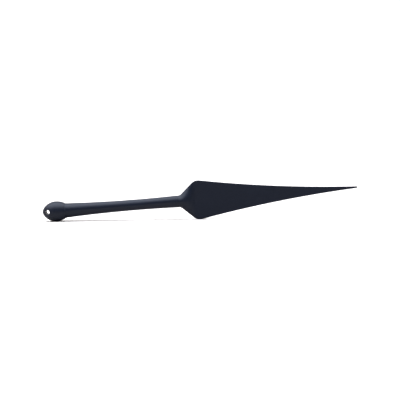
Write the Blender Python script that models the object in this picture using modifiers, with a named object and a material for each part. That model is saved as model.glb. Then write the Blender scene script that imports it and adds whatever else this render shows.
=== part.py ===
"""Bone folder: a slender tool for creasing and scoring paper, standing on edge, in three pieces.

An egg-shaped end knob with a hang hole plugs into the butt of a round, waisted handle shaft. A flat,
spear-shaped blade plugs its tang into the shaft's other end, where its round root opens out into two
square shoulders.

Each piece is drawn along the tool's own axis: +X runs from the knob's end to the blade's tip, +Z across
the blade's width and +Y through its thickness. One empty then stands the tool up, resting on the knob's
belly and on the blade's lower shoulder. Metres throughout.
"""

import math

import bmesh
import bpy

# Whole tool
TOOL_LENGTH = 0.2200
FIT_GAP = 0.0003
ROUND_STEPS = 48
COLLECTION = "bone_folder"

# End knob: an egg turned about the tool's axis, and the spigot that plugs into the shaft
KNOB_WIDEST_AT = 0.00965
KNOB_RADIUS = 0.0070
KNOB_TIP_POWER = 0.60
KNOB_SHAFT_POWER = 0.50
HANG_HOLE_AT = 0.0042
HANG_HOLE_RADIUS = 0.0017
SPIGOT_RADIUS = 0.0026
SPIGOT_LENGTH = 0.0120
SPIGOT_CHAMFER = 0.0004
KEY_WIDTH = 0.0010
KEY_HEIGHT = 0.0006
KEY_LENGTH = 0.0080

# Handle shaft: thick at the butt, thinnest at the waist, a little thicker again at the neck
BUTT_AT = 0.0164
BUTT_RADIUS = 0.00508
WAIST_AT = 0.0680
WAIST_RADIUS = 0.00374
NECK_AT = 0.0940
NECK_RADIUS = 0.00415
BUTT_TAPER_POWER = 2.1
NECK_FLARE_POWER = 1.7

# Blade outline: the neck's fillet, a straight shoulder, a round corner and a side that bows in to a fine tip
SHOULDER_FOOT_AT = 0.09625
SHOULDER_CORNER_AT = 0.10735
SHOULDER_CORNER_HALF_WIDTH = 0.0141
NECK_FILLET_RADIUS = 0.0030
CORNER_RADIUS = 0.0065
SIDE_HOLLOW = 0.00187
TIP_HALF_WIDTH = 0.00058

# Blade thickness: round at the neck, domed with thin edges along the ramp, then a plate that thins to the tip
RAMP_END_AT = 0.1070
ROOT_HALF_THICKNESS = 0.0016
TIP_HALF_THICKNESS = 0.0005
EDGE_RADIUS = 0.00045
NECK_EDGE_LAND = 0.00008
DOME_SHARP_BY = 0.35

# Tang: a rectangular tongue in the shaft's socket, with shallow grooves that hold the adhesive
TANG_LENGTH = 0.0240
TANG_HALF_WIDTH = 0.0018
TANG_HALF_THICKNESS = 0.0011
TANG_OVERLAP = 0.0040
TANG_GROOVES = 4
TANG_GROOVE_PITCH = 0.0050
TANG_GROOVE_WIDTH = 0.0010
TANG_GROOVE_DEPTH = 0.0003

# Matte, almost black navy plastic, linear light
NAVY_BLACK = (0.0160, 0.0185, 0.0280, 1.0)
SATIN_ROUGHNESS = 0.48


# ---------------------------------------------------------------- profiles


def knob_radius(at):
    """The egg's radius at a distance along the axis: more pointed towards the free end than to the shaft."""
    reach = (at - KNOB_WIDEST_AT) / KNOB_WIDEST_AT
    power = KNOB_TIP_POWER if reach < 0.0 else KNOB_SHAFT_POWER
    return KNOB_RADIUS * max(0.0, 1.0 - reach * reach) ** power


def knob_profile(steps=22):
    """(distance, radius) along the egg, from its end to the shaft, evenly spaced by angle round the egg."""
    last = math.acos(1.0 - BUTT_AT / KNOB_WIDEST_AT)
    angles = [last * i / steps for i in range(steps + 1)]
    distances = [KNOB_WIDEST_AT * (1.0 - math.cos(a)) for a in angles]
    return [(at, knob_radius(at)) for at in distances]


def shaft_radius(at):
    """The handle's radius: a quick taper from the butt to the waist, then a slow flare to the neck."""
    if at < WAIST_AT:
        rest = (WAIST_AT - at) / (WAIST_AT - BUTT_AT)
        return WAIST_RADIUS + (BUTT_RADIUS - WAIST_RADIUS) * rest**BUTT_TAPER_POWER
    rest = (at - WAIST_AT) / (NECK_AT - WAIST_AT)
    return WAIST_RADIUS + (NECK_RADIUS - WAIST_RADIUS) * rest**NECK_FLARE_POWER


def rounded_corner(corner, before, after, radius, steps):
    """Points of the arc that rounds a corner between two points of its straight sides."""
    to_before = (before[0] - corner[0], before[1] - corner[1])
    to_after = (after[0] - corner[0], after[1] - corner[1])
    angle_before = math.atan2(to_before[1], to_before[0])
    angle_after = math.atan2(to_after[1], to_after[0])
    turn = (angle_after - angle_before + math.pi) % (2.0 * math.pi) - math.pi
    half = abs(turn) / 2.0
    middle = angle_before + turn / 2.0
    reach = radius / math.sin(half)
    centre = (corner[0] + reach * math.cos(middle), corner[1] + reach * math.sin(middle))
    sweep = math.pi - abs(turn)
    first = middle + math.pi + math.copysign(sweep / 2.0, turn)
    points = []
    for i in range(steps + 1):
        angle = first - math.copysign(sweep, turn) * i / steps
        points.append((centre[0] + radius * math.cos(angle), centre[1] + radius * math.sin(angle)))
    return points


def side_half_width(at):
    """Half the blade's width where its side runs to the tip, bowed in by SIDE_HOLLOW at the middle."""
    left = (TOOL_LENGTH - at) / (TOOL_LENGTH - SHOULDER_CORNER_AT)
    straight = TIP_HALF_WIDTH + (SHOULDER_CORNER_HALF_WIDTH - TIP_HALF_WIDTH) * left
    return straight - SIDE_HOLLOW * 4.0 * left * (1.0 - left)


def blade_outline(neck_steps=5, corner_steps=10, side_steps=14, tip_steps=4):
    """(distance, half width) along the blade's upper edge, from the neck to the tip."""
    near = NECK_AT + FIT_GAP / 2.0
    just_past = 0.0005
    foot = (SHOULDER_FOOT_AT, NECK_RADIUS)
    corner = (SHOULDER_CORNER_AT, SHOULDER_CORNER_HALF_WIDTH)
    beside = (SHOULDER_CORNER_AT + just_past, side_half_width(SHOULDER_CORNER_AT + just_past))
    points = [(near, NECK_RADIUS)]
    points += rounded_corner(foot, (near, NECK_RADIUS), corner, NECK_FILLET_RADIUS, neck_steps)
    points += shoulder_line(points[-1], corner, 4)
    points += rounded_corner(corner, foot, beside, CORNER_RADIUS, corner_steps)
    side_from = points[-1][0]
    tip_round_at = TOOL_LENGTH - TIP_HALF_WIDTH
    for i in range(1, side_steps + 1):
        at = side_from + (tip_round_at - side_from) * i / side_steps
        points.append((at, side_half_width(at)))
    tip_half_width = points[-1][1]
    for i in range(1, tip_steps + 1):
        angle = math.pi / 2.0 * i / (tip_steps + 1)
        points.append((tip_round_at + TIP_HALF_WIDTH * math.sin(angle), tip_half_width * math.cos(angle)))
    return points


def shoulder_line(start, corner, steps):
    """Points along the straight shoulder, between the neck's fillet and the corner's arc."""
    points = []
    for i in range(1, steps + 1):
        part = 0.6 * i / steps
        points.append((start[0] + (corner[0] - start[0]) * part, start[1] + (corner[1] - start[1]) * part))
    return points


def ease(value):
    """A smooth step from 0 to 1."""
    value = min(1.0, max(0.0, value))
    return value * value * (3.0 - 2.0 * value)


def plate_half_thickness(at):
    """Half the thickness of the plate, which thins evenly towards the tip."""
    left = (TOOL_LENGTH - at) / (TOOL_LENGTH - RAMP_END_AT)
    return TIP_HALF_THICKNESS + (ROOT_HALF_THICKNESS - TIP_HALF_THICKNESS) * min(1.0, left)


def along_ramp(at):
    """Share of the ramp passed, from 0 at the neck to 1 where the plate starts."""
    return min(1.0, (at - NECK_AT) / (RAMP_END_AT - NECK_AT))


def edge_half_thickness(at):
    """Half the blade's thickness at its edges, which grows from almost nothing at the round neck."""
    return NECK_EDGE_LAND + (plate_half_thickness(at) - NECK_EDGE_LAND) * ease(along_ramp(at)) ** 1.5


def dome_height(at):
    """How far the middle of a section is domed above its edges."""
    return (NECK_RADIUS - NECK_EDGE_LAND) * (1.0 - along_ramp(at) ** 3) ** 1.5


# ---------------------------------------------------------------- mesh helpers


def clear_scene():
    for old in list(bpy.data.objects):
        bpy.data.objects.remove(old, do_unlink=True)


def make_collection(name):
    collection = bpy.data.collections.new(name)
    bpy.context.scene.collection.children.link(collection)
    return collection


def make_material(name):
    material = bpy.data.materials.new(name)
    material.use_nodes = True
    shader = material.node_tree.nodes["Principled BSDF"]
    shader.inputs["Base Color"].default_value = NAVY_BLACK
    shader.inputs["Roughness"].default_value = SATIN_ROUGHNESS
    shader.inputs["Metallic"].default_value = 0.0
    return material


def finish_piece(piece, parent, collection):
    """Link a piece, stand it up with the tool and give it its material."""
    collection.objects.link(piece)
    piece.parent = parent
    piece.data.materials.append(make_material(piece.name + "_plastic"))
    return piece


def mesh_from(bm, name):
    mesh = bpy.data.meshes.new(name)
    bm.normal_update()
    bm.to_mesh(mesh)
    bm.free()
    mesh.shade_smooth()
    mesh.set_sharp_from_angle(angle=math.radians(35.0))
    return mesh


def turned_piece(name, profile):
    """A solid turned about the tool's axis, from (distance, radius) points listed from its tip side back."""
    bm = bmesh.new()
    rings = [bm.verts.new((radius, 0.0, at)) for at, radius in profile]
    for upper, lower in zip(rings, rings[1:]):
        bm.edges.new((upper, lower))
    mesh = bpy.data.meshes.new(name)
    bm.to_mesh(mesh)
    bm.free()
    piece = bpy.data.objects.new(name, mesh)
    screw = piece.modifiers.new("turn", "SCREW")
    screw.axis = "Z"
    screw.angle = 2.0 * math.pi
    screw.steps = ROUND_STEPS
    screw.render_steps = ROUND_STEPS
    screw.use_merge_vertices = True
    screw.merge_threshold = 0.000005
    screw.use_smooth_shade = True
    piece.rotation_euler = (0.0, math.pi / 2.0, 0.0)
    return piece


def make_cutter(name, bm, location, parent, collection):
    """A hidden solid for a Boolean, placed in the tool's own axes."""
    mesh = bpy.data.meshes.new(name)
    bm.to_mesh(mesh)
    bm.free()
    cutter = bpy.data.objects.new(name, mesh)
    cutter.location = location
    cutter.parent = parent
    cutter.hide_render = True
    cutter.display_type = "WIRE"
    collection.objects.link(cutter)
    return cutter


def box_mesh(length, depth, height):
    bm = bmesh.new()
    bmesh.ops.create_cube(bm, size=1.0)
    bmesh.ops.scale(bm, vec=(length, depth, height), verts=bm.verts)
    return bm


def add_boolean(piece, cutter, operation):
    boolean = piece.modifiers.new(cutter.name, "BOOLEAN")
    boolean.operation = operation
    boolean.solver = "EXACT"
    boolean.object = cutter
    return boolean


# ---------------------------------------------------------------- end knob


def make_end_knob(tool, parts, cutters):
    """The egg, its spigot with a key rib that holds the hang hole square to the blade, and the hang hole."""
    butt = BUTT_AT - FIT_GAP / 2.0
    spigot_end = BUTT_AT + SPIGOT_LENGTH
    profile = [
        (spigot_end, 0.0),
        (spigot_end, SPIGOT_RADIUS - SPIGOT_CHAMFER),
        (spigot_end - SPIGOT_CHAMFER, SPIGOT_RADIUS),
        (butt, SPIGOT_RADIUS),
    ]
    egg = [(min(at, butt), radius) for at, radius in knob_profile()]
    knob = turned_piece("end_knob", profile + egg[::-1])
    finish_piece(knob, tool, parts)

    rib_height = SPIGOT_RADIUS + KEY_HEIGHT
    rib = make_cutter(
        "spigot_key_rib",
        box_mesh(KEY_LENGTH + FIT_GAP, KEY_WIDTH, rib_height),
        (butt + (KEY_LENGTH - FIT_GAP) / 2.0, 0.0, rib_height / 2.0),
        tool,
        cutters,
    )
    add_boolean(knob, rib, "UNION")
    add_boolean(knob, make_hang_hole(tool, cutters), "DIFFERENCE")
    return knob


def make_hang_hole(tool, cutters):
    """A round cutter through the knob from side to side."""
    bm = bmesh.new()
    bmesh.ops.create_cone(
        bm,
        cap_ends=True,
        segments=32,
        radius1=HANG_HOLE_RADIUS,
        radius2=HANG_HOLE_RADIUS,
        depth=KNOB_RADIUS * 3.0,
    )
    hole = make_cutter("hang_hole", bm, (HANG_HOLE_AT, 0.0, 0.0), tool, cutters)
    hole.rotation_euler = (math.pi / 2.0, 0.0, 0.0)
    return hole


# ---------------------------------------------------------------- handle shaft


def make_handle_shaft(tool, parts, cutters):
    """The waisted shaft, with a round bore and keyway for the knob and a flat socket for the tang."""
    first = BUTT_AT + FIT_GAP / 2.0
    last = NECK_AT - FIT_GAP / 2.0
    steps = 26
    stations = [first + (last - first) * i / steps for i in range(steps + 1)]
    outside = [(at, shaft_radius(at)) for at in stations]
    profile = [(last, 0.0)] + outside[::-1] + [(first, 0.0)]
    shaft = turned_piece("handle_shaft", profile)
    finish_piece(shaft, tool, parts)

    overrun = 0.001
    bore_end = BUTT_AT + SPIGOT_LENGTH + FIT_GAP
    bore = bmesh.new()
    bore_length = bore_end - BUTT_AT + overrun
    bmesh.ops.create_cone(
        bore,
        cap_ends=True,
        segments=ROUND_STEPS,
        radius1=SPIGOT_RADIUS + FIT_GAP,
        radius2=SPIGOT_RADIUS + FIT_GAP,
        depth=bore_length,
    )
    spigot_bore = make_cutter("spigot_bore", bore, (bore_end - bore_length / 2.0, 0.0, 0.0), tool, cutters)
    spigot_bore.rotation_euler = (0.0, math.pi / 2.0, 0.0)
    add_boolean(shaft, spigot_bore, "DIFFERENCE")

    keyway_length = KEY_LENGTH + FIT_GAP + overrun
    keyway_height = SPIGOT_RADIUS + KEY_HEIGHT + FIT_GAP
    keyway = make_cutter(
        "keyway",
        box_mesh(keyway_length, KEY_WIDTH + 2.0 * FIT_GAP, keyway_height),
        (BUTT_AT + KEY_LENGTH + FIT_GAP - keyway_length / 2.0, 0.0, keyway_height / 2.0),
        tool,
        cutters,
    )
    add_boolean(shaft, keyway, "DIFFERENCE")

    socket_length = TANG_LENGTH + FIT_GAP + overrun
    socket = make_cutter(
        "tang_socket",
        box_mesh(socket_length, 2.0 * (TANG_HALF_THICKNESS + FIT_GAP), 2.0 * (TANG_HALF_WIDTH + FIT_GAP)),
        (NECK_AT + overrun - socket_length / 2.0, 0.0, 0.0),
        tool,
        cutters,
    )
    add_boolean(shaft, socket, "DIFFERENCE")
    return shaft


# ---------------------------------------------------------------- blade


def section_heights(at, half_width, edge_round, flat_steps, corner_steps):
    """Heights of a section's points: even round the neck's circle, crowded into the plate's rounded edge."""
    flat = half_width - edge_round
    heights = []
    for i in range(flat_steps + corner_steps + 1):
        on_circle = half_width * math.sin(math.pi / 2.0 * i / (flat_steps + corner_steps))
        if i <= flat_steps:
            on_plate = flat * i / flat_steps
        else:
            on_plate = flat + edge_round * math.sin(math.pi / 2.0 * (i - flat_steps) / corner_steps)
        heights.append(on_circle + (on_plate - on_circle) * ease(along_ramp(at)))
    return heights


def blade_section(at, half_width, flat_steps=4, corner_steps=7):
    """One closed section: a circle at the neck, then a dome that flattens into a plate with rounded edges."""
    edge = min(edge_half_thickness(at), half_width)
    edge_round = min(EDGE_RADIUS, 0.9 * edge)
    power = 0.5 + 0.5 * ease(along_ramp(at) / DOME_SHARP_BY)
    quarter = []
    for z in section_heights(at, half_width, edge_round, flat_steps, corner_steps):
        past_flat = min(edge_round, max(0.0, z - half_width + edge_round))
        plate = edge - edge_round + math.sqrt(edge_round * edge_round - past_flat * past_flat)
        dome = dome_height(at) * max(0.0, 1.0 - (z / half_width) ** 2) ** power
        quarter.append((plate + dome, z))
    upper = quarter + [(-y, z) for y, z in reversed(quarter)]
    lower = [(-y, -z) for y, z in upper[1:-1]]
    return upper + lower


def make_blade(tool, parts, cutters):
    """The loft from the round neck to the fine tip, and the grooved tang."""
    bm = bmesh.new()
    rings = []
    for at, half_width in blade_outline():
        ring = [bm.verts.new((at, y, z)) for y, z in blade_section(at, half_width)]
        rings.append(ring)
    for ring, following in zip(rings, rings[1:]):
        for i, vertex in enumerate(ring):
            beside = (i + 1) % len(ring)
            bm.faces.new((vertex, following[i], following[beside], ring[beside]))
    bm.faces.new(rings[0])
    bm.faces.new(rings[-1])
    bmesh.ops.recalc_face_normals(bm, faces=bm.faces)
    blade = bpy.data.objects.new("blade", mesh_from(bm, "blade"))
    finish_piece(blade, tool, parts)
    add_boolean(blade, make_tang(tool, cutters), "UNION")
    for groove in make_tang_grooves(tool, cutters):
        add_boolean(blade, groove, "DIFFERENCE")
    return blade


def make_tang(tool, cutters):
    length = TANG_LENGTH + TANG_OVERLAP
    centre = NECK_AT + TANG_OVERLAP - length / 2.0
    tang = box_mesh(length, 2.0 * TANG_HALF_THICKNESS, 2.0 * TANG_HALF_WIDTH)
    return make_cutter("tang", tang, (centre, 0.0, 0.0), tool, cutters)


def make_tang_grooves(tool, cutters):
    """Shallow grooves across the tang's upper and lower edges."""
    grooves = []
    first = NECK_AT - TANG_LENGTH + TANG_GROOVE_PITCH
    for i in range(TANG_GROOVES):
        for side, where in ((1.0, "upper"), (-1.0, "lower")):
            groove = make_cutter(
                f"tang_groove_{where}_{i + 1}",
                box_mesh(TANG_GROOVE_WIDTH, 4.0 * TANG_HALF_THICKNESS, 2.0 * TANG_GROOVE_DEPTH),
                (first + TANG_GROOVE_PITCH * i, 0.0, side * TANG_HALF_WIDTH),
                tool,
                cutters,
            )
            grooves.append(groove)
    return grooves


# ---------------------------------------------------------------- standing the tool up


def lowest_point(profile, tilt):
    """Height of a profile's lower side when the tool's tip is raised by the tilt."""
    return min(at * math.sin(tilt) - radius * math.cos(tilt) for at, radius in profile)


def standing_tilt():
    """The tilt at which the knob's belly and the blade's lower shoulder touch the ground together."""
    knob = knob_profile()
    blade = blade_outline()
    low, high = 0.0, math.radians(15.0)
    for _ in range(50):
        tilt = (low + high) / 2.0
        if lowest_point(blade, tilt) < lowest_point(knob, tilt):
            low = tilt
        else:
            high = tilt
    return tilt


def stand_tool(tool):
    """Rest the tool on the ground, with the origin under the middle of its box."""
    tilt = standing_tilt()
    knob = knob_profile()
    left = min(at * math.cos(tilt) - radius * math.sin(tilt) for at, radius in knob)
    right = max(at * math.cos(tilt) + width * math.sin(tilt) for at, width in blade_outline())
    tool.location = (-(left + right) / 2.0, 0.0, -lowest_point(knob, tilt))
    tool.rotation_euler = (0.0, -tilt, 0.0)


def main():
    clear_scene()
    parts = make_collection(COLLECTION)
    cutters = make_collection("cutters")
    tool = bpy.data.objects.new("tool_axis", None)
    parts.objects.link(tool)
    stand_tool(tool)
    make_end_knob(tool, parts, cutters)
    make_handle_shaft(tool, parts, cutters)
    make_blade(tool, parts, cutters)


main()
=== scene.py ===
"""Looks of the bone folder: three finely meshed plastic pieces in the CAD solids' places, on a white floor.

Every piece is drawn along the tool's own axis, as in the CAD model: +X from the knob's end to the blade's
tip, +Z across the blade's width and +Y through its thickness. One matrix then stands the tool up where the
CAD model stands. Metres throughout.
"""

import math

import bmesh
import bpy
from mathutils import Matrix, Vector


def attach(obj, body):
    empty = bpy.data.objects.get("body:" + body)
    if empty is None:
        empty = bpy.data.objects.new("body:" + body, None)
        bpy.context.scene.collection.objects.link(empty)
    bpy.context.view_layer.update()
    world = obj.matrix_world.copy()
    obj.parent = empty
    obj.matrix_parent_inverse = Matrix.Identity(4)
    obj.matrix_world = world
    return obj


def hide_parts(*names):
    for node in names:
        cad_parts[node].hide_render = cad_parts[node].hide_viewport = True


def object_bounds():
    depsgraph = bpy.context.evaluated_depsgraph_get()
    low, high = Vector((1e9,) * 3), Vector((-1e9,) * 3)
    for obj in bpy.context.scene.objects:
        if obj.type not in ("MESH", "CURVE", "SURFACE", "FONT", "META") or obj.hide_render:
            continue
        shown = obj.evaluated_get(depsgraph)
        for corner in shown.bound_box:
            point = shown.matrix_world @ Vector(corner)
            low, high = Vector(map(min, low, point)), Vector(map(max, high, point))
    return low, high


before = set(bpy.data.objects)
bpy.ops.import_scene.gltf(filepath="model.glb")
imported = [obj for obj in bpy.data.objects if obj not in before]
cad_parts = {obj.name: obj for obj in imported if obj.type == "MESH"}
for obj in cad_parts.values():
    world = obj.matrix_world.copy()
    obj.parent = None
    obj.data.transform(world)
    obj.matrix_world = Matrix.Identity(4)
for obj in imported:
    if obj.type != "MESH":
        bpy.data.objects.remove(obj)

CAD_LOW, CAD_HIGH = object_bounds()
ROOT = "root"

# Whole tool, as in the CAD model
TOOL_LENGTH = 0.2200
STEEPEST_TILT = math.radians(15.0)
TILT_HALVINGS = 50

# End knob: an egg turned about the tool's axis, and the spigot that plugs into the shaft
KNOB_WIDEST_AT = 0.00965
KNOB_RADIUS = 0.0070
KNOB_TIP_POWER = 0.60
KNOB_SHAFT_POWER = 0.50
HANG_HOLE_AT = 0.0042
HANG_HOLE_RADIUS = 0.0017
HANG_HOLE_RIM = 0.00035
SPIGOT_RADIUS = 0.0026
SPIGOT_LENGTH = 0.0120
SPIGOT_CHAMFER = 0.0004
KEY_WIDTH = 0.0010
KEY_HEIGHT = 0.0006
KEY_LENGTH = 0.0080

# Handle shaft: thick at the butt, thinnest at the waist, a little thicker again at the neck
BUTT_AT = 0.0164
BUTT_RADIUS = 0.00508
WAIST_AT = 0.0680
WAIST_RADIUS = 0.00374
NECK_AT = 0.0940
NECK_RADIUS = 0.00415
BUTT_TAPER_POWER = 2.1
NECK_FLARE_POWER = 1.7

# Blade outline: the neck's fillet, a straight shoulder, a round corner and a side that bows in to a fine tip
SHOULDER_FOOT_AT = 0.09625
SHOULDER_CORNER_AT = 0.10735
SHOULDER_CORNER_HALF_WIDTH = 0.0141
NECK_FILLET_RADIUS = 0.0030
CORNER_RADIUS = 0.0065
SIDE_HOLLOW = 0.00187
TIP_HALF_WIDTH = 0.00058

# Blade thickness: round at the neck, domed with thin edges along the ramp, then a plate that thins to the tip
RAMP_END_AT = 0.1070
ROOT_HALF_THICKNESS = 0.0016
TIP_HALF_THICKNESS = 0.0005
EDGE_RADIUS = 0.00045
NECK_EDGE_LAND = 0.00008
DOME_SHARP_BY = 0.35

# Tang: a rectangular tongue in the shaft's socket, with shallow grooves that hold the adhesive
TANG_LENGTH = 0.0240
TANG_HALF_WIDTH = 0.0018
TANG_HALF_THICKNESS = 0.0011
TANG_OVERLAP = 0.0040
TANG_GROOVES = 4
TANG_GROOVE_PITCH = 0.0050
TANG_GROOVE_WIDTH = 0.0010
TANG_GROOVE_DEPTH = 0.0003

# Fits: the pieces meet in a hairline seam with barely broken edges, and slide together inside. Cutters and
# joined blocks overrun the face that they start from.
SEAM = 0.00001
SEAM_EDGE_RADIUS = 0.00006
SEAM_EDGE_MIDDLE = 0.3 * SEAM_EDGE_RADIUS
INNER_CLEARANCE = 0.0001
OVERRUN = 0.001

# The mould's parting line, a faint ridge in the plane of the blade
RIDGE_HALF_WIDTH = 0.00010
RIDGE_HEIGHT = 0.00003

# Fineness of the knob: its rings and segments, and the patch round the hang hole that they leave open
KNOB_RINGS = 110
KNOB_SEGMENTS = 192
KNOB_PROFILE_STEPS = 200
PATCH_HALF_SEGMENTS = KNOB_SEGMENTS // 6
PATCH_MIDDLES = (KNOB_SEGMENTS // 4, 3 * KNOB_SEGMENTS // 4)
PATCH_FROM = 0.00035
PATCH_TO = 0.0078
PATCH_LAYERS = 18
PATCH_CROWDING = 1.25
RIM_STEPS = 8
RIM_FITTING_STEPS = 40
HOLE_WALL_STEPS = 12

# Fineness of the shaft
ROUND_STEPS = 144
RIDGE_STEPS = 4
SHAFT_RINGS = 120
BORE_SEGMENTS = 96

# Fineness of the blade: along its outline, and round a quarter of a section
NECK_RUN_STEPS = 4
NECK_FILLET_STEPS = 14
SHOULDER_STEPS = 12
CORNER_STEPS = 26
SIDE_STEPS = 90
TIP_STEPS = 10
FLAT_STEPS = 18
EDGE_STEPS = 18

SHARP_FROM = math.radians(40.0)


# ---------------------------------------------------------------- profiles


def knob_radius(at):
    """The egg's radius at a distance along the axis: more pointed towards the free end than to the shaft."""
    reach = (at - KNOB_WIDEST_AT) / KNOB_WIDEST_AT
    power = KNOB_TIP_POWER if reach < 0.0 else KNOB_SHAFT_POWER
    return KNOB_RADIUS * max(0.0, 1.0 - reach * reach) ** power


def knob_stations(steps):
    """Distances along the egg from its end to the shaft, evenly spaced by angle round the egg."""
    last = math.acos(1.0 - (BUTT_AT - SEAM / 2.0) / KNOB_WIDEST_AT)
    return [KNOB_WIDEST_AT * (1.0 - math.cos(last * i / steps)) for i in range(steps + 1)]


def shaft_radius(at):
    """The handle's radius: a quick taper from the butt to the waist, then a slow flare to the neck."""
    if at < WAIST_AT:
        rest = (WAIST_AT - at) / (WAIST_AT - BUTT_AT)
        return WAIST_RADIUS + (BUTT_RADIUS - WAIST_RADIUS) * rest**BUTT_TAPER_POWER
    rest = (at - WAIST_AT) / (NECK_AT - WAIST_AT)
    return WAIST_RADIUS + (NECK_RADIUS - WAIST_RADIUS) * rest**NECK_FLARE_POWER


def rounded_corner(corner, before, after, radius, steps):
    """Points of the arc that rounds a corner between two points of its straight sides."""
    angle_before = math.atan2(before[1] - corner[1], before[0] - corner[0])
    angle_after = math.atan2(after[1] - corner[1], after[0] - corner[0])
    turn = (angle_after - angle_before + math.pi) % (2.0 * math.pi) - math.pi
    middle = angle_before + turn / 2.0
    reach = radius / math.sin(abs(turn) / 2.0)
    centre = (corner[0] + reach * math.cos(middle), corner[1] + reach * math.sin(middle))
    sweep = math.copysign(math.pi - abs(turn), turn)
    first = middle + math.pi + sweep / 2.0
    points = []
    for i in range(steps + 1):
        angle = first - sweep * i / steps
        points.append((centre[0] + radius * math.cos(angle), centre[1] + radius * math.sin(angle)))
    return points


def straight_run(start, end, steps):
    """Points between two ends, without the ends themselves."""
    return [
        (start[0] + (end[0] - start[0]) * i / steps, start[1] + (end[1] - start[1]) * i / steps)
        for i in range(1, steps)
    ]


def side_half_width(at):
    """Half the blade's width where its side runs to the tip, bowed in by SIDE_HOLLOW at the middle."""
    left = (TOOL_LENGTH - at) / (TOOL_LENGTH - SHOULDER_CORNER_AT)
    straight = TIP_HALF_WIDTH + (SHOULDER_CORNER_HALF_WIDTH - TIP_HALF_WIDTH) * left
    return straight - SIDE_HOLLOW * 4.0 * left * (1.0 - left)


def blade_outline():
    """(distance, half width) along the blade's upper edge, from the neck to the tip."""
    near = NECK_AT + SEAM / 2.0
    just_past = 0.0005
    foot = (SHOULDER_FOOT_AT, NECK_RADIUS)
    corner = (SHOULDER_CORNER_AT, SHOULDER_CORNER_HALF_WIDTH)
    beside = (SHOULDER_CORNER_AT + just_past, side_half_width(SHOULDER_CORNER_AT + just_past))
    neck = rounded_corner(foot, (near, NECK_RADIUS), corner, NECK_FILLET_RADIUS, NECK_FILLET_STEPS)
    shoulder = rounded_corner(corner, foot, beside, CORNER_RADIUS, CORNER_STEPS)
    points = [
        (near, NECK_RADIUS - SEAM_EDGE_RADIUS),
        (near + SEAM_EDGE_MIDDLE, NECK_RADIUS - SEAM_EDGE_MIDDLE),
        (near + SEAM_EDGE_RADIUS, NECK_RADIUS),
    ]
    points += straight_run(points[-1], neck[0], NECK_RUN_STEPS)
    points += neck + straight_run(neck[-1], shoulder[0], SHOULDER_STEPS) + shoulder
    side_from = points[-1][0]
    tip_round_at = TOOL_LENGTH - TIP_HALF_WIDTH
    for i in range(1, SIDE_STEPS + 1):
        at = side_from + (tip_round_at - side_from) * i / SIDE_STEPS
        points.append((at, side_half_width(at)))
    tip_half_width = points[-1][1]
    for i in range(1, TIP_STEPS):
        angle = math.pi / 2.0 * i / TIP_STEPS
        points.append((tip_round_at + TIP_HALF_WIDTH * math.sin(angle), tip_half_width * math.cos(angle)))
    return points


def ease(value):
    """A smooth step from 0 to 1."""
    value = min(1.0, max(0.0, value))
    return value * value * (3.0 - 2.0 * value)


def plate_half_thickness(at):
    """Half the thickness of the plate, which thins evenly towards the tip."""
    left = (TOOL_LENGTH - at) / (TOOL_LENGTH - RAMP_END_AT)
    return TIP_HALF_THICKNESS + (ROOT_HALF_THICKNESS - TIP_HALF_THICKNESS) * min(1.0, left)


def along_ramp(at):
    """Share of the ramp passed, from 0 at the neck to 1 where the plate starts."""
    return min(1.0, (at - NECK_AT) / (RAMP_END_AT - NECK_AT))


def edge_half_thickness(at):
    """Half the blade's thickness at its edges, which grows from almost nothing at the round neck."""
    return NECK_EDGE_LAND + (plate_half_thickness(at) - NECK_EDGE_LAND) * ease(along_ramp(at)) ** 1.5


def dome_height(at):
    """How far the middle of a section is domed above its edges."""
    return (NECK_RADIUS - NECK_EDGE_LAND) * (1.0 - along_ramp(at) ** 3) ** 1.5


# ---------------------------------------------------------------- where the tool stands


def lowest_point(profile, tilt):
    """Height of a profile's lower side when the tool's tip is raised by the tilt."""
    return min(at * math.sin(tilt) - radius * math.cos(tilt) for at, radius in profile)


def standing_matrix():
    """Stands the tool on the knob's belly and the blade's lower shoulder, where the CAD model stands."""
    knob = [(at, knob_radius(at)) for at in knob_stations(KNOB_PROFILE_STEPS)]
    blade = blade_outline()
    low, high = 0.0, STEEPEST_TILT
    for _ in range(TILT_HALVINGS):
        tilt = (low + high) / 2.0
        if lowest_point(blade, tilt) < lowest_point(knob, tilt):
            low = tilt
        else:
            high = tilt
    left = min(at * math.cos(tilt) - radius * math.sin(tilt) for at, radius in knob)
    place = Vector((CAD_LOW.x - left, 0.0, CAD_LOW.z - lowest_point(knob, tilt)))
    return Matrix.Translation(place) @ Matrix.Rotation(-tilt, 4, "Y")


# ---------------------------------------------------------------- mesh helpers


def bridge(bm, ring, following):
    """Skins the band between two rings of the same number of points."""
    for i, vertex in enumerate(ring):
        beside = (i + 1) % len(ring)
        bm.faces.new((vertex, following[i], following[beside], ring[beside]))


def loft(rings):
    """A solid skinned over rings of the same number of points, with closed ends."""
    bm = bmesh.new()
    made = [[bm.verts.new(point) for point in ring] for ring in rings]
    for ring, following in zip(made, made[1:]):
        bridge(bm, ring, following)
    bm.faces.new(made[0])
    bm.faces.new(made[-1])
    return bm


def box_bmesh(length, depth, height):
    bm = bmesh.new()
    bmesh.ops.create_cube(bm, size=1.0)
    bmesh.ops.scale(bm, vec=(length, depth, height), verts=bm.verts)
    return bm


def object_from(bm, name, location=(0.0, 0.0, 0.0)):
    bmesh.ops.recalc_face_normals(bm, faces=bm.faces)
    mesh = bpy.data.meshes.new(name)
    bm.to_mesh(mesh)
    bm.free()
    made = bpy.data.objects.new(name, mesh)
    made.location = location
    bpy.context.scene.collection.objects.link(made)
    return made


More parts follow.
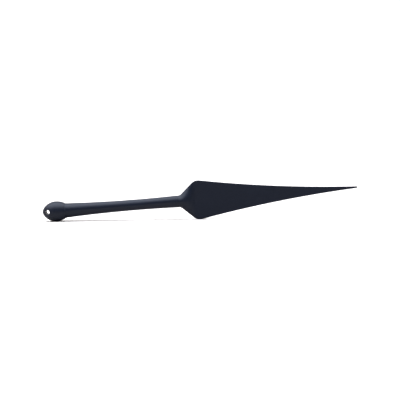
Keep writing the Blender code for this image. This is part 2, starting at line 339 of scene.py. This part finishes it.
def cut(piece, cutters):
    """Applies (operation, cutter) pairs to a piece, in order, and removes the cutters."""
    for operation, cutter in cutters:
        boolean = piece.modifiers.new(cutter.name, "BOOLEAN")
        boolean.operation = operation
        boolean.solver = "EXACT"
        boolean.object = cutter
    bpy.context.view_layer.update()
    evaluated = piece.evaluated_get(bpy.context.evaluated_depsgraph_get())
    mesh = bpy.data.meshes.new_from_object(evaluated)
    piece.modifiers.clear()
    piece.data = mesh
    for _, cutter in cutters:
        bpy.data.objects.remove(cutter, do_unlink=True)


def finish_piece(piece, node, material):
    """Shades a piece, stands it up and puts it in its CAD node's place."""
    mesh = piece.data
    mesh.materials.clear()
    mesh.materials.append(material)
    mesh.shade_smooth()
    mesh.set_sharp_from_angle(angle=SHARP_FROM)
    mesh.transform(TOOL)
    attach(piece, ROOT)
    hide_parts(node)


# ---------------------------------------------------------------- round sections with a parting line


def ridge(y):
    """Height of the parting line's ridge at a distance from the mould's plane."""
    return RIDGE_HEIGHT * ease(1.0 - abs(y) / RIDGE_HALF_WIDTH)


def round_angles(radius):
    """Angles round a section from straight up, closer together over the parting line's two ridges."""
    edge = RIDGE_HALF_WIDTH / radius
    fine = [edge * i / RIDGE_STEPS for i in range(-RIDGE_STEPS, RIDGE_STEPS + 1)]
    steps = ROUND_STEPS // 2
    rest = [edge + (math.pi - 2.0 * edge) * i / steps for i in range(1, steps)]
    return fine + rest + [math.pi + a for a in fine] + [math.pi + a for a in rest]


def round_ring(at, radius):
    """A round section with the parting line at its top and bottom."""
    ring = []
    for angle in round_angles(radius):
        y = radius * math.sin(angle)
        reach = radius + ridge(y)
        ring.append((at, reach * math.sin(angle), reach * math.cos(angle)))
    return ring


# ---------------------------------------------------------------- end knob


def knob_surface(at, z):
    """Half the egg's thickness over a point of the blade's plane."""
    return math.sqrt(max(0.0, knob_radius(at) ** 2 - z * z))


def hole_rim(angle):
    """The hang hole's rounded rim in one direction from its axis: (distance, height), outside to wall."""
    toward = math.cos(angle)
    across = math.sin(angle)

    def height(reach):
        return knob_surface(HANG_HOLE_AT + reach * toward, reach * across)

    def slope(reach):
        step = 1e-6
        return (height(reach + step) - height(reach - step)) / (2.0 * step)

    # The rim's arc touches the egg where its own slope is the egg's, found by closing in on that point
    centre = HANG_HOLE_RADIUS + HANG_HOLE_RIM
    touch = centre
    for _ in range(RIM_FITTING_STEPS):
        rise = slope(touch)
        touch = (touch + centre + HANG_HOLE_RIM * rise / math.hypot(1.0, rise)) / 2.0
    rise = slope(touch)
    centre_height = height(touch) - HANG_HOLE_RIM / math.hypot(1.0, rise)
    first = math.atan2(1.0, -rise)
    points = []
    for i in range(RIM_STEPS + 1):
        turn = first + (math.pi - first) * i / RIM_STEPS
        reach = centre + HANG_HOLE_RIM * math.cos(turn)
        points.append((reach, centre_height + HANG_HOLE_RIM * math.sin(turn)))
    return points


def make_end_knob():
    """The egg as a ring mesh, opened on both sides by patches that run in to the hang hole's rounded rim."""
    bm = bmesh.new()
    stations = knob_stations(KNOB_RINGS)
    first_ring = next(i for i, at in enumerate(stations) if at > PATCH_FROM)
    last_ring = next(i for i, at in enumerate(stations) if at > PATCH_TO)

    def point_in_patch(ring, segment):
        beside = min(abs(segment - middle) for middle in PATCH_MIDDLES)
        return first_ring < ring < last_ring and beside < PATCH_HALF_SEGMENTS

    def face_in_patch(ring, segment):
        past_start = [segment - middle + PATCH_HALF_SEGMENTS for middle in PATCH_MIDDLES]
        beside = any(0 <= past < 2 * PATCH_HALF_SEGMENTS for past in past_start)
        return first_ring <= ring < last_ring and beside

    verts = {}
    pole = bm.verts.new((0.0, 0.0, 0.0))
    for i in range(1, KNOB_RINGS + 1):
        radius = knob_radius(stations[i])
        for j in range(KNOB_SEGMENTS):
            if point_in_patch(i, j):
                continue
            angle = 2.0 * math.pi * j / KNOB_SEGMENTS
            verts[i, j] = bm.verts.new((stations[i], radius * math.sin(angle), radius * math.cos(angle)))
    for j in range(KNOB_SEGMENTS):
        beside = (j + 1) % KNOB_SEGMENTS
        bm.faces.new((pole, verts[1, j], verts[1, beside]))
        for i in range(1, KNOB_RINGS):
            if not face_in_patch(i, j):
                bm.faces.new((verts[i, j], verts[i + 1, j], verts[i + 1, beside], verts[i, beside]))

    add_hole(bm, verts, first_ring, last_ring)
    shaft_end = [verts[KNOB_RINGS, j] for j in range(KNOB_SEGMENTS)]
    add_spigot(bm, shaft_end, knob_radius(stations[KNOB_RINGS]))
    knob = object_from(bm, "end_knob_moulding")
    rib_height = SPIGOT_RADIUS + KEY_HEIGHT
    rib = object_from(
        box_bmesh(KEY_LENGTH + OVERRUN, KEY_WIDTH, rib_height),
        "spigot_key_rib",
        (BUTT_AT + (KEY_LENGTH - OVERRUN) / 2.0, 0.0, rib_height / 2.0),
    )
    cut(knob, [("UNION", rib)])
    finish_piece(knob, "end_knob", plastic("knob_plastic", 3.0))


def patch_loop(middle, first_ring, last_ring):
    """(ring, segment) round the edge of a patch."""
    low = middle - PATCH_HALF_SEGMENTS
    high = middle + PATCH_HALF_SEGMENTS
    loop = [(first_ring, j) for j in range(low, high)]
    loop += [(i, high) for i in range(first_ring, last_ring)]
    loop += [(last_ring, j) for j in range(high, low, -1)]
    loop += [(i, low) for i in range(last_ring, first_ring, -1)]
    return [(i, j % KNOB_SEGMENTS) for i, j in loop]


def wrap(angle):
    """An angle brought to between minus and plus half a turn."""
    return (angle + math.pi) % (2.0 * math.pi) - math.pi


def direction_from_hole(vertex):
    """The angle of a point as seen from the hang hole's axis. 0 is towards the shaft."""
    return math.atan2(vertex.co.z, vertex.co.x - HANG_HOLE_AT)


def point_from_hole(angle, reach, y):
    """A point in a direction from the hang hole's axis."""
    return (HANG_HOLE_AT + reach * math.cos(angle), y, reach * math.sin(angle))


def add_patch(bm, loop, angles, side):
    """One side's skin from the patch's edge in to the rim and over it. Returns the last ring."""
    rims = [hole_rim(angle) for angle in angles]
    edge_reaches = [math.hypot(vertex.co.z, vertex.co.x - HANG_HOLE_AT) for vertex in loop]
    previous = loop
    for layer in range(1, PATCH_LAYERS + 1):
        share = (1.0 - layer / PATCH_LAYERS) ** PATCH_CROWDING
        ring = []
        for angle, rim, edge_reach in zip(angles, rims, edge_reaches):
            rim_reach = rim[0][0]
            reach = rim_reach + (edge_reach - rim_reach) * share
            height = knob_surface(HANG_HOLE_AT + reach * math.cos(angle), reach * math.sin(angle))
            ring.append(bm.verts.new(point_from_hole(angle, reach, side * height)))
        bridge(bm, previous, ring)
        previous = ring
    for step in range(1, RIM_STEPS + 1):
        ring = []
        for angle, rim in zip(angles, rims):
            reach, height = rim[step]
            ring.append(bm.verts.new(point_from_hole(angle, reach, side * height)))
        bridge(bm, previous, ring)
        previous = ring
    return previous


def add_hole(bm, verts, first_ring, last_ring):
    """Both sides' patches, and the hole's wall between their two rims."""
    back_middle, front_middle = PATCH_MIDDLES
    back_loop = [verts[key] for key in patch_loop(back_middle, first_ring, last_ring)]
    front_points = [verts[key] for key in patch_loop(front_middle, first_ring, last_ring)]
    angles = [direction_from_hole(vertex) for vertex in back_loop]
    # The front's points are put in the back's order, so that each pairs with the one in its own direction
    front_loop = []
    for angle in angles:
        opposite = min(front_points, key=lambda vertex: abs(wrap(direction_from_hole(vertex) - angle)))
        front_loop.append(opposite)
    back_rim = add_patch(bm, back_loop, angles, 1.0)
    front_rim = add_patch(bm, front_loop, angles, -1.0)
    previous = back_rim
    for step in range(1, HOLE_WALL_STEPS):
        share = step / HOLE_WALL_STEPS
        ring = [bm.verts.new(back.co.lerp(front.co, share)) for back, front in zip(back_rim, front_rim)]
        bridge(bm, previous, ring)
        previous = ring
    bridge(bm, previous, front_rim)


def add_spigot(bm, edge_ring, radius):
    """The knob's flat shoulder and the spigot that plugs into the shaft."""
    spigot_end = BUTT_AT + SPIGOT_LENGTH
    butt = BUTT_AT - SEAM / 2.0
    profile = [
        (butt, SPIGOT_RADIUS),
        (spigot_end - SPIGOT_CHAMFER, SPIGOT_RADIUS),
        (spigot_end, SPIGOT_RADIUS - SPIGOT_CHAMFER),
    ]
    previous = edge_ring
    for at, reach in profile:
        share = reach / radius
        ring = [bm.verts.new((at, v.co.y * share, v.co.z * share)) for v in edge_ring]
        bridge(bm, previous, ring)
        previous = ring
    bm.faces.new(previous)


# ---------------------------------------------------------------- handle shaft


def make_handle_shaft():
    """The waisted shaft, with barely broken ends, the knob's bore and keyway and the tang's socket."""
    first = BUTT_AT + SEAM / 2.0
    last = NECK_AT - SEAM / 2.0
    rings = [
        round_ring(first, BUTT_RADIUS - SEAM_EDGE_RADIUS),
        round_ring(first + SEAM_EDGE_MIDDLE, BUTT_RADIUS - SEAM_EDGE_MIDDLE),
    ]
    near = first + SEAM_EDGE_RADIUS
    far = last - SEAM_EDGE_RADIUS
    for i in range(SHAFT_RINGS + 1):
        at = near + (far - near) * i / SHAFT_RINGS
        rings.append(round_ring(at, shaft_radius(at)))
    rings.append(round_ring(last - SEAM_EDGE_MIDDLE, NECK_RADIUS - SEAM_EDGE_MIDDLE))
    rings.append(round_ring(last, NECK_RADIUS - SEAM_EDGE_RADIUS))
    shaft = object_from(loft(rings), "handle_shaft_moulding")
    cut(shaft, shaft_cutters())
    finish_piece(shaft, "handle_shaft", plastic("shaft_plastic", 2.0))


def shaft_cutters():
    """The spigot's bore, its keyway and the tang's socket, a sliding clearance larger than what they hold."""
    bore_end = BUTT_AT + SPIGOT_LENGTH + INNER_CLEARANCE
    bore_length = SPIGOT_LENGTH + OVERRUN
    bore_radius = SPIGOT_RADIUS + INNER_CLEARANCE
    bore = bmesh.new()
    bmesh.ops.create_cone(
        bore,
        cap_ends=True,
        segments=BORE_SEGMENTS,
        radius1=bore_radius,
        radius2=bore_radius,
        depth=bore_length,
        matrix=Matrix.Rotation(math.pi / 2.0, 4, "Y"),
    )
    spigot_bore = object_from(bore, "spigot_bore", (bore_end - bore_length / 2.0, 0.0, 0.0))
    keyway_height = bore_radius + KEY_HEIGHT
    keyway = object_from(
        box_bmesh(KEY_LENGTH + OVERRUN, KEY_WIDTH + 2.0 * INNER_CLEARANCE, keyway_height),
        "keyway",
        (BUTT_AT + INNER_CLEARANCE + (KEY_LENGTH - OVERRUN) / 2.0, 0.0, keyway_height / 2.0),
    )
    socket_length = TANG_LENGTH + OVERRUN
    socket = object_from(
        box_bmesh(
            socket_length,
            2.0 * (TANG_HALF_THICKNESS + INNER_CLEARANCE),
            2.0 * (TANG_HALF_WIDTH + INNER_CLEARANCE),
        ),
        "tang_socket",
        (NECK_AT + OVERRUN - INNER_CLEARANCE - socket_length / 2.0, 0.0, 0.0),
    )
    return [("DIFFERENCE", spigot_bore), ("DIFFERENCE", keyway), ("DIFFERENCE", socket)]


# ---------------------------------------------------------------- blade


def section_heights(at, half_width, edge_round):
    """Heights of a section's points: even round the neck's circle, crowded into the plate's rounded edge."""
    flat = half_width - edge_round
    heights = []
    for i in range(FLAT_STEPS + EDGE_STEPS + 1):
        on_circle = half_width * math.sin(math.pi / 2.0 * i / (FLAT_STEPS + EDGE_STEPS))
        if i <= FLAT_STEPS:
            on_plate = flat * i / FLAT_STEPS
        else:
            on_plate = flat + edge_round * math.sin(math.pi / 2.0 * (i - FLAT_STEPS) / EDGE_STEPS)
        heights.append(on_circle + (on_plate - on_circle) * ease(along_ramp(at)))
    return heights


def blade_ring(at, half_width):
    """One section: a circle at the neck, then a dome that flattens into a plate with rounded edges."""
    edge = min(edge_half_thickness(at), half_width)
    edge_round = min(EDGE_RADIUS, 0.9 * edge)
    power = 0.5 + 0.5 * ease(along_ramp(at) / DOME_SHARP_BY)
    quarter = []
    for z in section_heights(at, half_width, edge_round):
        past_flat = min(edge_round, max(0.0, z - half_width + edge_round))
        plate = edge - edge_round + math.sqrt(edge_round * edge_round - past_flat * past_flat)
        dome = dome_height(at) * max(0.0, 1.0 - (z / half_width) ** 2) ** power
        quarter.append((plate + dome, z))
    land = quarter[-1][0]
    ridge_foot = min(RIDGE_HALF_WIDTH, 0.8 * land)
    ridge_height = RIDGE_HEIGHT * min(1.0, land / RIDGE_HALF_WIDTH)
    for share in (0.0, 0.35, 0.7, 1.0):
        quarter.append((ridge_foot * (1.0 - share), half_width + ridge_height * ease(share)))
    upper = quarter + [(-y, z) for y, z in reversed(quarter[:-1])]
    lower = [(-y, -z) for y, z in upper[1:-1]]
    return [(at, y, z) for y, z in upper + lower]


def make_blade():
    """The loft from the round neck to the fine tip, and the grooved tang."""
    rings = [blade_ring(at, half_width) for at, half_width in blade_outline()]
    blade = object_from(loft(rings), "blade_moulding")
    length = TANG_LENGTH + TANG_OVERLAP
    tang = object_from(
        box_bmesh(length, 2.0 * TANG_HALF_THICKNESS, 2.0 * TANG_HALF_WIDTH),
        "tang",
        (NECK_AT + TANG_OVERLAP - length / 2.0, 0.0, 0.0),
    )
    cutters = [("UNION", tang)]
    first = NECK_AT - TANG_LENGTH + TANG_GROOVE_PITCH
    for i in range(TANG_GROOVES):
        for side in (1.0, -1.0):
            groove = object_from(
                box_bmesh(TANG_GROOVE_WIDTH, 4.0 * TANG_HALF_THICKNESS, 2.0 * TANG_GROOVE_DEPTH),
                "tang_groove",
                (first + TANG_GROOVE_PITCH * i, 0.0, side * TANG_HALF_WIDTH),
            )
            cutters.append(("DIFFERENCE", groove))
    cut(blade, cutters)
    finish_piece(blade, "blade", plastic("blade_plastic", 1.0))


# ---------------------------------------------------------------- material


BASE_COLOUR = (0.0010, 0.0027, 0.0080)
SPECULAR_LEVEL = 0.155
BASE_ROUGHNESS = 0.46

# Scales of the plastic's patterns, in noise cells per metre, and how far each one reaches
CLOUD_SCALE = 70.0
CLOUD_CONTRAST = 0.06
SPECK_SCALE = 2600.0
SPECK_CONTRAST = 0.07
HANDLING_SCALE = 120.0
HANDLING_ROUGHNESS = 0.03
STREAK_SCALE = 900.0
STREAK_DRAW = (0.06, 1.0, 1.0)
STREAK_ROUGHNESS = 0.015
WAVE_SCALE = 110.0
WAVE_HEIGHT = 0.00006
WAVE_STRENGTH = 0.5
GRAIN_SCALE = 4200.0
GRAIN_HEIGHT = 0.00001
GRAIN_STRENGTH = 0.6


def plastic(name, seed):
    """Satin navy-black plastic: a fine spark-eroded grain, faint flow marks and slightly uneven gloss."""
    material = bpy.data.materials.new(name)
    material.use_nodes = True
    nodes = material.node_tree.nodes
    links = material.node_tree.links
    shader = nodes["Principled BSDF"]
    shader.inputs["Metallic"].default_value = 0.0
    shader.inputs["Specular IOR Level"].default_value = SPECULAR_LEVEL

    place = nodes.new("ShaderNodeTexCoord")
    shift = nodes.new("ShaderNodeMapping")
    shift.inputs["Location"].default_value = (seed * 0.37, seed * 0.11, seed * 0.23)
    links.new(place.outputs["Object"], shift.inputs["Vector"])

    def noise(scale, detail, stretch=None):
        texture = nodes.new("ShaderNodeTexNoise")
        texture.inputs["Scale"].default_value = scale
        texture.inputs["Detail"].default_value = detail
        source = shift
        if stretch:
            source = nodes.new("ShaderNodeMapping")
            source.inputs["Scale"].default_value = stretch
            links.new(shift.outputs["Vector"], source.inputs["Vector"])
        links.new(source.outputs["Vector"], texture.inputs["Vector"])
        return texture

    def spread(texture, low, high):
        ramp = nodes.new("ShaderNodeMapRange")
        ramp.inputs["From Min"].default_value = 0.3
        ramp.inputs["From Max"].default_value = 0.7
        ramp.inputs["To Min"].default_value = low
        ramp.inputs["To Max"].default_value = high
        links.new(texture.outputs["Fac"], ramp.inputs["Value"])
        return ramp

    # Colour: slightly uneven pigment in soft clouds and fine specks
    clouds = noise(CLOUD_SCALE, 3.0)
    specks = noise(SPECK_SCALE, 2.0)
    tone = nodes.new("ShaderNodeMath")
    tone.operation = "MULTIPLY"
    cloud_tone = spread(clouds, 1.0 - CLOUD_CONTRAST, 1.0 + CLOUD_CONTRAST)
    speck_tone = spread(specks, 1.0 - SPECK_CONTRAST, 1.0 + SPECK_CONTRAST)
    links.new(cloud_tone.outputs["Result"], tone.inputs[0])
    links.new(speck_tone.outputs["Result"], tone.inputs[1])
    colour = nodes.new("ShaderNodeVectorMath")
    colour.operation = "SCALE"
    colour.inputs[0].default_value = BASE_COLOUR
    links.new(tone.outputs["Value"], colour.inputs["Scale"])
    links.new(colour.outputs["Vector"], shader.inputs["Base Color"])

    # Gloss: broad handling marks and faint streaks along the tool
    handling = noise(HANDLING_SCALE, 4.0)
    streaks = noise(STREAK_SCALE, 3.0, stretch=STREAK_DRAW)
    gloss = nodes.new("ShaderNodeMath")
    gloss.operation = "ADD"
    smoothest = BASE_ROUGHNESS - HANDLING_ROUGHNESS
    roughest = BASE_ROUGHNESS + HANDLING_ROUGHNESS
    links.new(spread(handling, smoothest, roughest).outputs["Result"], gloss.inputs[0])
    links.new(spread(streaks, -STREAK_ROUGHNESS, STREAK_ROUGHNESS).outputs["Result"], gloss.inputs[1])
    links.new(gloss.outputs["Value"], shader.inputs["Roughness"])

    # Relief: the mould's fine grain over a barely wavy surface
    grain = noise(GRAIN_SCALE, 4.0)
    waves = noise(WAVE_SCALE, 1.0)
    wave_bump = nodes.new("ShaderNodeBump")
    wave_bump.inputs["Strength"].default_value = WAVE_STRENGTH
    wave_bump.inputs["Distance"].default_value = WAVE_HEIGHT
    links.new(waves.outputs["Fac"], wave_bump.inputs["Height"])
    grain_bump = nodes.new("ShaderNodeBump")
    grain_bump.inputs["Strength"].default_value = GRAIN_STRENGTH
    grain_bump.inputs["Distance"].default_value = GRAIN_HEIGHT
    links.new(grain.outputs["Fac"], grain_bump.inputs["Height"])
    links.new(wave_bump.outputs["Normal"], grain_bump.inputs["Normal"])
    links.new(grain_bump.outputs["Normal"], shader.inputs["Normal"])
    return material


# ---------------------------------------------------------------- floor, light and camera


FLOOR_SIZE = 40.0
FLOOR_COLOUR = (0.52, 0.48, 0.43, 1.0)
GLOW_FROM = 0.25
GLOW_TO = 0.60
GLOW_STRENGTH = 1.1
WALL_RADIUS = 8.0
WALL_HEIGHT = 6.0
WALL_SEGMENTS = 96
SOFTBOX_SIZE = (2.0, 1.2)
SOFTBOX_AT = (-0.30, -0.16, 0.90)
SOFTBOX_POWER = 56.0
SOFTBOX_COLOUR = (0.92, 0.99, 1.15)
BACKDROP_STRENGTH = 1.15
ROOM_STRENGTH = 0.10
FADE_FROM = -0.5
FADE_TO = 0.3

LENS_MM = 80.0
SENSOR_MM = 36.0
FRAME_WIDTH = 0.2785
CAMERA_ELEVATION = math.radians(4.5)
CAMERA_ROLL = math.radians(-0.82)
AIM_ACROSS = 0.00006
AIM_UP = 0.01343


def make_floor():
    """A pale floor that turns into a lit backdrop sheet away from the tool, so that no horizon shows."""
    bm = bmesh.new()
    bmesh.ops.create_grid(bm, x_segments=1, y_segments=1, size=FLOOR_SIZE / 2.0)
    floor = object_from(bm, "floor")
    material = bpy.data.materials.new("white_floor")
    material.use_nodes = True
    nodes = material.node_tree.nodes
    links = material.node_tree.links
    shader = nodes["Principled BSDF"]
    shader.inputs["Base Color"].default_value = FLOOR_COLOUR
    shader.inputs["Roughness"].default_value = 0.9
    shader.inputs["Specular IOR Level"].default_value = 0.0
    shader.inputs["Emission Color"].default_value = (1.0, 1.0, 1.0, 1.0)
    place = nodes.new("ShaderNodeTexCoord")
    distance = nodes.new("ShaderNodeVectorMath")
    distance.operation = "LENGTH"
    links.new(place.outputs["Object"], distance.inputs[0])
    glow = nodes.new("ShaderNodeMapRange")
    glow.interpolation_type = "SMOOTHSTEP"
    glow.inputs["From Min"].default_value = GLOW_FROM
    glow.inputs["From Max"].default_value = GLOW_TO
    glow.inputs["To Min"].default_value = 0.0
    glow.inputs["To Max"].default_value = GLOW_STRENGTH
    links.new(distance.outputs["Value"], glow.inputs["Value"])
    links.new(glow.outputs["Result"], shader.inputs["Emission Strength"])
    floor.data.materials.append(material)


def make_wall():
    """A white wall far round the tool that only the camera sees, so that every view ends in white."""
    bm = bmesh.new()
    bmesh.ops.create_cone(
        bm,
        cap_ends=False,
        segments=WALL_SEGMENTS,
        radius1=WALL_RADIUS,
        radius2=WALL_RADIUS,
        depth=WALL_HEIGHT,
    )
    wall = object_from(bm, "wall", (0.0, 0.0, WALL_HEIGHT / 2.0))
    wall.visible_diffuse = False
    wall.visible_glossy = False
    wall.visible_transmission = False
    wall.visible_volume_scatter = False
    wall.visible_shadow = False
    material = bpy.data.materials.new("white_wall")
    material.use_nodes = True
    shader = material.node_tree.nodes["Principled BSDF"]
    shader.inputs["Base Color"].default_value = (0.0, 0.0, 0.0, 1.0)
    shader.inputs["Specular IOR Level"].default_value = 0.0
    shader.inputs["Emission Color"].default_value = (1.0, 1.0, 1.0, 1.0)
    shader.inputs["Emission Strength"].default_value = GLOW_STRENGTH
    wall.data.materials.append(material)


def make_softbox():
    light = bpy.data.lights.new("overhead_softbox", "AREA")
    light.shape = "RECTANGLE"
    light.size, light.size_y = SOFTBOX_SIZE
    light.energy = SOFTBOX_POWER
    light.color = SOFTBOX_COLOUR
    softbox = bpy.data.objects.new("overhead_softbox", light)
    softbox.location = SOFTBOX_AT
    bpy.context.scene.collection.objects.link(softbox)


def make_room():
    """A white backdrop behind the tool, which fades to a dimmer room on the camera's side."""
    world = bpy.data.worlds.new("studio")
    bpy.context.scene.world = world
    world.use_nodes = True
    nodes = world.node_tree.nodes
    links = world.node_tree.links
    background = nodes["Background"]
    direction = nodes.new("ShaderNodeTexCoord")
    parts = nodes.new("ShaderNodeSeparateXYZ")
    links.new(direction.outputs["Generated"], parts.inputs["Vector"])
    fade = nodes.new("ShaderNodeMapRange")
    fade.interpolation_type = "SMOOTHSTEP"
    fade.inputs["From Min"].default_value = FADE_FROM
    fade.inputs["From Max"].default_value = FADE_TO
    fade.inputs["To Min"].default_value = ROOM_STRENGTH
    fade.inputs["To Max"].default_value = BACKDROP_STRENGTH
    links.new(parts.outputs["Y"], fade.inputs["Value"])
    background.inputs["Color"].default_value = (1.0, 1.0, 1.0, 1.0)
    links.new(fade.outputs["Result"], background.inputs["Strength"])


def make_camera():
    data = bpy.data.cameras.new("camera")
    data.lens = LENS_MM
    data.sensor_width = SENSOR_MM
    camera = bpy.data.objects.new("camera", data)
    bpy.context.scene.collection.objects.link(camera)
    middle = (CAD_LOW + CAD_HIGH) / 2.0
    aim = Vector((middle.x + AIM_ACROSS, middle.y, CAD_LOW.z + AIM_UP))
    distance = FRAME_WIDTH * LENS_MM / SENSOR_MM
    back = Vector((0.0, -math.cos(CAMERA_ELEVATION), math.sin(CAMERA_ELEVATION)))
    look = (-back).to_track_quat("-Z", "Y").to_matrix().to_4x4()
    roll = Matrix.Rotation(CAMERA_ROLL, 4, "Z")
    camera.matrix_world = Matrix.Translation(aim + back * distance) @ look @ roll
    data.clip_start = 0.01
    data.clip_end = 100.0
    bpy.context.scene.camera = camera


def set_exposure():
    scene = bpy.context.scene
    scene.view_settings.view_transform = "Standard"
    scene.view_settings.look = "None"
    scene.view_settings.exposure = 0.0
    scene.view_settings.gamma = 1.0


TOOL = standing_matrix()
make_end_knob()
make_handle_shaft()
make_blade()
make_floor()
make_wall()
make_softbox()
make_room()
make_camera()
set_exposure()
